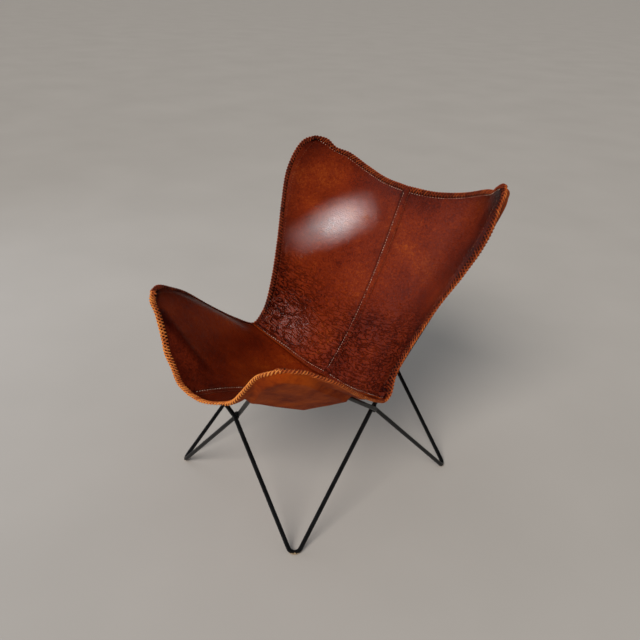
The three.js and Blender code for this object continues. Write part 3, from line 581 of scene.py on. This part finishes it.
# leather panels: the back's lower edge lies over the seat, the right half over the left; flat in metres
panels = {
    "seat": {"t": (0.004, 0.4575), "grid": (84, 130), "flat": (0.33, 0.53), "rod": "arm_rod_front_"},
    "back": {"t": (0.4385, 0.996), "grid": (96, 230), "flat": (0.4, 0.64), "rod": "back_rod_"},
}
halves = {"Right": (-0.024, 0.985), "Left": (-0.985, 0.0)}  # across the sling, in s
laps = {
    "middle": 2.2, "middleFrom": -0.005, "middleFade": 0.075,  # millimetres of rise, then shares of s
    "seat": -1.1, "seatFrom": 0.425, "seatFade": 0.015,  # the same in t, for the edge under the back
    "back": 2.5, "backFrom": 0.4525, "backFade": 0.02,
}
# painted shade in the grooves beside the seams, drawn as dark lines: place and width in millimetres, and
# strength
middleSeamShade = [(-7.5, 3.2, 0.5), (11, 3.0, 0.3)]
seatSeamShade = [(0.4365 * spanT, 4.0, 0.6), (0.455 * spanT, 3.0, 0.45)]
# painted shade: how much darker each part is drawn
wornParts = {"crease": 0.4, "side": 0.5, "front": 0.4, "top": 0.35, "tip": 0.5,
             "seat": 0.1, "seatFront": 0.2, "rod": 0.38}
leatherHalf = sling["thickness"] / 2


def rodShadeLine(place):
    # painted shade: the soft dark line where the leather curves over the front rod of the arm
    start, end = frontTip["rods"][:2]
    along = ((place - start) @ (end - start)) / ((end - start) @ (end - start))
    away = np.linalg.norm(place - start - np.clip(along, 0, 1)[..., None] * (end - start), axis=-1)
    return np.exp(-(np.maximum(away - sling["lift"], 0) / 8) ** 2) * smooth((along - 0.15) / 0.3)


def skived(distance, thin=0.5, over=9.0):
    # half thickness near a cut edge that was thinned before sewing
    return thin + (leatherHalf - thin) * smooth(distance / over)


# sums the painted shade lines beside a seam
def shadeLines(place, lines):
    return sum(much * np.exp(-((place - middle) / width) ** 2) for middle, width, much in lines)


def panelShade(s, t, height):
    # painted shade: darker in creases, along the rim and the seams, at the upper tip and on the seat
    crease = wornParts["crease"] * np.clip(-height, 0, 1) * smooth((t - 0.44) / 0.03)
    rim = wornParts["side"] * smooth((np.abs(s) - 0.8) / 0.18)
    rim = rim + wornParts["front"] * smooth((0.05 - t) / 0.05)
    rim = rim + wornParts["top"] * smooth((t - 0.93) / 0.07)
    seams = shadeLines(s * spanS, middleSeamShade) + shadeLines(t * spanT, seatSeamShade)
    tip = wornParts["tip"] * smooth((t - 0.86) / 0.14) * smooth((s - 0.45) / 0.5)
    seat = wornParts["seat"] + wornParts["seatFront"] * smooth((0.30 - t) / 0.3)
    seat = seat * (1 - smooth((t - 0.36) / 0.08))
    return crease + rim + seams + tip + seat


def markPoints(piece, label, values):
    mark = piece.data.attributes.new(label, "FLOAT", "POINT")
    mark.data.foreach_set("value", np.asarray(values, np.float32))


def addPanel(kind, side):
    plan = panels[kind]
    columns, rows = plan["grid"]
    (s0, s1), (t0, t1) = halves[side], plan["t"]
    s, t = np.linspace(s0, s1, columns)[None, :], np.linspace(t0, t1, rows)[:, None]
    s, t = np.broadcast_arrays(s, t)
    height, normal = creaseHeight(s, t), normalAt(s, t)
    shade = panelShade(s, t, height)
    if kind == "seat":
        lap = laps["seat"] * smooth((t - laps["seatFrom"]) / laps["seatFade"])
        half = skived((t1 - t) * spanT)
        shade = shade + wornParts["rod"] * rodShadeLine(surface(np.abs(s), t))
    else:
        lap = laps["back"] * (1 - smooth((t - laps["backFrom"]) / laps["backFade"]))
        half = np.full(s.shape, leatherHalf)
    if side == "Right":
        lap = lap + laps["middle"] * (1 - smooth((s - laps["middleFrom"]) / laps["middleFade"]))
        half = np.minimum(half, skived((s - s0) * spanS, thin=0.9, over=5.0))
    points = surface(s, t) + normal * (height + lap)[..., None]
    piece = gridSheet(kind + side, points, normal, np.stack([s * spanS, t * spanT], -1), half)
    markPoints(piece, "shade", np.tile(np.clip(shade, 0, 1).ravel(), 2))
    markPoints(piece, "wrinkle", np.tile(np.clip(wrinkleZone(s, t), 0, 1).ravel(), 2))
    piece.data.materials.append(sittingHide)
    piece.data.materials.append(undersideHide)
    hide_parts(kind + "_panel_" + side.lower())


for kind in panels:
    for side in halves:
        addPanel(kind, side)

# pockets under the tips, sewn in with the rim: where they end along both edges and at their far corner
pockets = {
    "front": {"tip": "frontUnder", "edge": 0.0, "endS": 0.36, "endT": 0.31, "far": (0.45, 0.22),
              "flat": (0.26, 0.25), "rod": "arm_rod_front_"},
    "back": {"tip": "backUnder", "edge": 1.0, "endS": 0.5, "endT": 0.8, "far": (0.6, 0.86),
             "flat": (0.2, 0.22), "rod": "back_rod_"},
}
pocketFit = {"half": 1.2, "rimDepth": 3.6, "slack": 4, "underRod": 11.5, "slope": 0.9, "sag": 2, "grid": 60}


def addPocket(name, plan):
    tip = tipOf[plan["tip"]]
    shares = np.linspace(0.01, 1, pocketFit["grid"])
    a, d = np.meshgrid(shares, shares)
    farS, farT = plan["far"]
    s = 1 - a * (1 - d) * (1 - plan["endS"]) - a * d * (1 - farS)
    t = plan["edge"] + (1 - a) * d * (plan["endT"] - plan["edge"]) + a * d * (farT - plan["edge"])
    base, normal = surface(s, t), normalAt(s, t)
    height, distance, inside = overRods(base, tip)
    rise = np.where(inside, 0, pocketFit["slope"] * np.maximum(0, distance - sling["rodRadius"]))
    drop = (height + pocketFit["underRod"] - rise) / np.maximum(normal @ tip["normal"], 0.3)
    depth = np.maximum(pocketFit["rimDepth"] + pocketFit["slack"], drop)
    rim = smooth(np.minimum(a, d) / 0.1)
    depth = pocketFit["rimDepth"] + (depth - pocketFit["rimDepth"]) * rim
    depth = depth + (0.5 + noise(a * 5, d * 5, 2)) * pocketFit["sag"] * rim
    points = base + normal * (creaseHeight(s, t) - depth)[..., None]
    for side, flip in (("Right", 1), ("Left", -1)):
        p, n, uv = points * (flip, 1, 1), normal * (flip, 1, 1), np.stack([s * spanS, t * spanT], -1)
        if (plan["edge"] == 0) == (flip == 1):
            p, n, uv = p[:, ::-1], n[:, ::-1], uv[:, ::-1]
        piece = gridSheet("pocket" + name.capitalize() + side, p, n, uv, pocketFit["half"])
        piece.data.materials.append(pocketHide)
        piece.data.materials.append(pocketHide)
        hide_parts("tip_pocket_" + name + "_" + side.lower())


for name, plan in pockets.items():
    addPocket(name, plan)


# stitches: short bowed threads along lines on the sling
def level(value, line):
    return np.full(len(line), value)


def onSling(s, t, lift):
    return surface(s, t) + normalAt(s, t) * np.asarray(lift + creaseHeight(s, t))[..., None]


def stitchRow(name, rows, thread, length, gap, radius):
    points, faces = [], []
    ring = [(math.cos(k * math.pi / 3), math.sin(k * math.pi / 3)) for k in range(6)]
    thick = radius * np.array([0.5, 0.95, 1, 0.95, 0.5])
    sink = np.array([-0.9, 0.1, 0.35, 0.1, -0.9]) * radius
    for s, t, lift in rows:
        line, normal = onSling(s, t, lift), normalAt(s, t)
        along = lengthAlong(line)
        start = gap
        while start + length < along[-1]:
            far = np.linspace(start, start + length, 5)
            mid, up = readAt(far, along, line), readAt(far, along, normal)
            side = unit(np.cross(up, mid[-1] - mid[0]))
            first = len(points)
            for q in range(5):
                for x, y in ring:
                    points.append(mid[q] + side[q] * x * thick[q] + up[q] * (y * thick[q] + sink[q]))
            for q in range(4):
                for k in range(6):
                    a, b = first + q * 6 + k, first + q * 6 + (k + 1) % 6
                    faces.append((a, b, b + 6, a + 6))
            faces.append(tuple(first + k for k in range(5, -1, -1)))
            faces.append(tuple(first + 24 + k for k in range(6)))
            start += length + gap * (0.85 + 0.3 * rng.rand())
    piece = newMesh(name, points, faces)
    piece.data.materials.append(thread)


backT, seatT = np.linspace(0.462, 0.985, 160), np.linspace(0.02, 0.434, 120)
crossS = np.linspace(-0.955, 0.955, 200)
rimT, rimS = np.linspace(0.02, 0.98, 260), np.linspace(0, 0.95, 120)
fromRim = 19  # millimetres from the side rims to their stitches
rimShare = 1 - fromRim / np.maximum(np.abs(surface(level(1, rimT), rimT)[:, 0]), 60)

# each line gives s, t and a lift; lift, length, gap and radius are in millimetres
stitches = {
    "middleSeamStitches": {"rows": [(level(-0.012, line), line, 3.9) for line in (backT, seatT)],
                           "thread": paleThread, "length": 5.0, "gap": 3.0, "radius": 0.6},
    "middleSeamStitchesRight": {"rows": [(level(0.036, line), line, 3.2) for line in (backT, seatT)],
                                "thread": darkThread, "length": 5.0, "gap": 3.0, "radius": 0.5},
    "seatSeamStitches": {"rows": [(crossS, level(0.4515, crossS), 4.1)],
                         "thread": paleThread, "length": 5.4, "gap": 2.6, "radius": 0.75},
    "seatEdgeStitches": {"rows": [(crossS, level(0.4415, crossS), 4.1)],
                         "thread": darkThread, "length": 5.0, "gap": 3.0, "radius": 0.5},
    "rimStitches": {"rows": [(side * rimShare, rimT, 2.0) for side in (1, -1)],
                    "thread": darkThread, "length": 4.4, "gap": 4.2, "radius": 0.5},
    "topEdgeStitches": {"rows": [(side * rimS, level(0.9842, rimS), 2.1) for side in (1, -1)],
                        "thread": paleThread, "length": 3.4, "gap": 5.2, "radius": 0.8},
}
for name, plan in stitches.items():
    stitchRow(name, **plan)
print("stitches ready")


# lacing: a thong whipped round a folded border strip, in millimetres
lacing = {"pitch": 9.2, "width": 4.6, "thick": 1.5, "over": 14.5, "under": 11.0, "slant": 1.1, "sunk": 0.7,
          "stripStep": 7, "stripPlump": 0.8, "stripIn": 0.6}
layers = {"plain": 1.9, "pocket": 2.6}  # how far the rim reaches down, and how much more at pockets

# how light the thong's dyed face and its raw edge are drawn on each side of the sling: painted light and
# shade on one thong, lightest at the front and darker at the top and sides
laceRuns = {
    "front": {"face": 0.74, "edge": 0.94},
    "top": {"face": 0.46, "edge": 0.54},
    "right": {"face": 0.42, "edge": 0.68},
    "left": {"face": 0.38, "edge": 0.56},
}

# across the lacing, inward and up: from the inner end on top, round the rim, to the inner end beneath
profile = np.array([
    (lacing["over"], 2.0), (lacing["over"] * 0.72, 3.1), (lacing["over"] * 0.4, 3.6), (2.5, 3.2),
    (-0.3, 1.7), (-1.2, 0.0), (-0.3, -1.0), (2.0, -1.9), (lacing["under"] * 0.6, -2.2),
    (lacing["under"], -1.0)])
tan = smooth((np.arange(len(profile)) - 2.4) / 1.8)  # from the dyed face to the raw edge
thongSection = [(-1, -0.5), (-0.55, 0.55), (0, 0.95), (0.55, 0.55), (1, -0.5)]  # of half width, thickness


def underDepth(s, t):
    front = (1 - smooth((t - 0.29) / 0.03)) * smooth((np.abs(s) - 0.34) / 0.03) * (t < 0.5)
    back = smooth((t - 0.79) / 0.03) * smooth((np.abs(s) - 0.48) / 0.03) * (t > 0.5)
    return layers["plain"] + layers["pocket"] * np.maximum(front, back)


def rimCurve(run):
    # dense shares along one run of the rim, in the direction that has the sling on its left
    if run == "front":
        s = np.linspace(-1, 1, 900)
        return s, level(0.0, s)
    if run == "top":
        s = np.linspace(1, -1, 900)
        return s, level(1.0, s)
    t = np.linspace(0, 1, 1200)
    return (level(1, t), t) if run == "right" else (level(-1, t), t[::-1])


def laceRun(run, face, edge):
    s, t = rimCurve(run)
    place, normal = surface(s, t), normalAt(s, t)
    travel = unit(np.gradient(place, axis=0))
    inward = unit(np.cross(normal, travel))
    below = underDepth(s, t)
    along = lengthAlong(place)
    total, size = along[-1], len(profile)

    def frameAt(far):
        drop = layers["plain"] - np.interp(far, along, below)
        up, inner = unit(readAt(far, along, normal)), unit(readAt(far, along, inward))
        return readAt(far, along, place), up, inner, drop

    # the folded border strip, one ring for each step; its face is drawn near black, as painted shade in the
    # gaps between the turns
    points, faces, turns = [], [], []
    steps = np.linspace(0, total, int(total / lacing["stripStep"]))
    for k, far in enumerate(steps):
        p, up, inner, drop = frameAt(far)
        for q, (u, w) in enumerate(profile):
            rise = w * lacing["stripPlump"] + (drop if w < 0 else 0)
            points.append(p + inner * (u + lacing["stripIn"]) + up * rise)
            turns.append(0.1 + 0.45 * tan[q])
        if k:
            for q in range(size):
                a, b = (k - 1) * size + q, (k - 1) * size + (q + 1) % size
                faces.append((a, a + size, b + size, b))
    faces.append(tuple(range(size - 1, -1, -1)))
    faces.append(tuple(range((len(steps) - 1) * size, len(steps) * size)))

    # turns of the thong, and the crossed turns that it rides over
    count = int(total / lacing["pitch"])
    for c in range(2 * count):
        middle = (c / 2 + 0.25) * total / count
        crossed = c % 2 == 1
        tone = rng.rand()
        first = len(points)
        used = profile[:6] if crossed else profile
        for q, (u, w) in enumerate(used):
            lean = (0.5 - q / (len(used) - 1)) * 2 * lacing["slant"] * lacing["pitch"]
            far = np.clip(middle + lean * (-0.6 if crossed else 1), 0, total)
            p, up, inner, drop = frameAt(far)
            onward = unit(readAt(far, along, travel))
            centre = p + inner * u + up * (w + (drop if w < 0 else 0))
            du, dw = profile[min(q + 1, size - 1)] - profile[max(q - 1, 0)]
            outward = unit(up * du - inner * dw)
            if outward @ (centre - (p + inner * 5)) < 0:
                outward = -outward
            centre = centre - outward * (lacing["sunk"] if crossed else 0)
            wide = lacing["width"] / 2 * (0.7 if q in (0, len(used) - 1) else 1.0)
            for x, y in thongSection:
                points.append(centre + onward * x * wide + outward * y * lacing["thick"])
                # lighter on each turn's crown and darker on the crossed turns beneath: painted highlight
                # and painted shade
                tint = face + (edge - face) * tan[q] + 0.2 * (tone - 0.5) + 0.1 * y
                turns.append(tint - (0.08 if crossed else 0))
        for q in range(len(used) - 1):
            for k in range(4):
                a = first + q * 5 + k
                faces.append((a, a + 1, a + 6, a + 5))
    piece = newMesh("lacing" + run.capitalize(), points, faces)
    markPoints(piece, "turn", turns)
    piece.data.materials.append(thong)
    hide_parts("edge_lacing_" + run)


for run, plan in laceRuns.items():
    laceRun(run, plan["face"], plan["edge"])
print("lacing ready")


# pale floor, soft light
floor = {"size": 160.0, "cloud": 625, "tones": [(0.3, "#aeaba6"), (0.7, "#b3b0ab")]}  # cloud in millimetres
bpy.ops.mesh.primitive_plane_add(size=floor["size"])
ground = bpy.context.object
ground.name = "floor"
material, tree, shader, where = newMaterial("paleFloor")
wash = addNode(tree, "ShaderNodeTexNoise", inputs={
    "Vector": where["Object"], "Scale": perMetre(floor["cloud"]), "Detail": 4.0})
pale = addNode(tree, "ShaderNodeValToRGB", inputs={"Fac": wash.outputs["Fac"]}, stops=floor["tones"])
setInputs(tree, shader, {"Base Color": pale.outputs["Color"], "Roughness": 0.6})
ground.data.materials.append(material)

# narrow lamps whose mirror image lies across the upper left of the back, and two for its wrinkled foot
glows = [
    {"place": (0.80, -0.95, 1.70), "aim": (-0.262, 0.196, 0.610), "power": 190, "cone": 1.4},
    {"place": (0.64, -0.98, 1.80), "aim": (-0.238, 0.233, 0.630), "power": 420, "cone": 1.45},
    {"place": (0.21, -1.16, 1.82), "aim": (-0.208, 0.273, 0.653), "power": 1150, "cone": 1.6},
    {"place": (-0.39, -1.26, 1.74), "aim": (-0.175, 0.304, 0.677), "power": 1250, "cone": 1.6},
    {"place": (-0.91, -1.14, 1.63), "aim": (-0.137, 0.328, 0.704), "power": 560, "cone": 1.5},
    {"place": (0.62, -1.38, 1.25), "aim": (-0.205, 0.086, 0.385), "power": 95, "cone": 2.6},
    {"place": (0.31, -1.30, 1.55), "aim": (-0.153, 0.097, 0.350), "power": 60, "cone": 2.4},
]
glowRadius = 0.04
sun = {"place": (0, 0, 3), "towards": (-0.35, 1.0, -0.95), "angle": 28, "power": 2.6, "colour": "#fff6ee"}
fill = {"place": (-2.2, -0.9, 1.7), "towards": (2.2, 0.95, -1.2), "size": 2.2, "power": 12,
        "colour": "#eef3ff"}
room = {"power": 0.42, "colour": "#eef0f2"}


def addLight(name, kind, place, towards, power, colour="#ffffff"):
    lamp = bpy.data.lights.new(name, kind)
    lamp.energy = power
    lamp.color = toLinear(colour)[:3]
    back = -unit(np.array(towards, float))
    right = unit(np.cross([0, 0, 1], back))
    holder = bpy.data.objects.new(name, lamp)
    holder.location = place
    holder.rotation_euler = Matrix(np.array([right, np.cross(back, right), back]).T.tolist()).to_euler()
    bpy.context.scene.collection.objects.link(holder)
    return lamp, holder


for k, plan in enumerate(glows):
    towards = np.subtract(plan["aim"], plan["place"])
    lamp, holder = addLight("glow" + str(k + 1), "SPOT", plan["place"], towards, plan["power"])
    lamp.spot_size = math.radians(2 * plan["cone"])
    lamp.spot_blend = 1.0
    lamp.shadow_soft_size = glowRadius
    holder.visible_diffuse = False
lamp, holder = addLight("daylight", "SUN", sun["place"], sun["towards"], sun["power"], sun["colour"])
lamp.angle = math.radians(sun["angle"])
holder.visible_glossy = False
lamp = addLight("fill", "AREA", fill["place"], fill["towards"], fill["power"], fill["colour"])[0]
lamp.shape = "DISK"
lamp.size = fill["size"]

world = bpy.data.worlds.new("room")
bpy.context.scene.world = world
world.use_nodes = True
sky = world.node_tree.nodes["Background"]
sky.inputs["Color"].default_value = toLinear(room["colour"])
sky.inputs["Strength"].default_value = room["power"]
world.cycles_visibility.glossy = False

# the camera stands where the photograph was taken from
camera = {"place": (1.1533, -1.0977, 1.3583), "yaw": 45.53, "pitch": 28.39, "roll": 1.62, "lens": 36.33}
yaw, pitch, roll = [math.radians(camera[k]) for k in ("yaw", "pitch", "roll")]
forward = np.array([-math.sin(yaw) * math.cos(pitch), math.cos(yaw) * math.cos(pitch), -math.sin(pitch)])
right = np.array([math.cos(yaw), math.sin(yaw), 0])
up = np.cross(right, forward)
tilted = math.cos(roll) * right + math.sin(roll) * up
upright = -math.sin(roll) * right + math.cos(roll) * up
turned = Matrix(np.array([tilted, upright, -forward]).T.tolist()).to_4x4()
eye = bpy.data.cameras.new("photoCamera")
eye.lens = camera["lens"]
eye.sensor_width = 36
eye.clip_start, eye.clip_end = 0.05, 50
viewer = bpy.data.objects.new("photoCamera", eye)
viewer.matrix_world = Matrix.Translation(camera["place"]) @ turned
bpy.context.scene.collection.objects.link(viewer)
bpy.context.scene.camera = viewer
bpy.context.scene.view_settings.view_transform = "Standard"
print("stage ready")
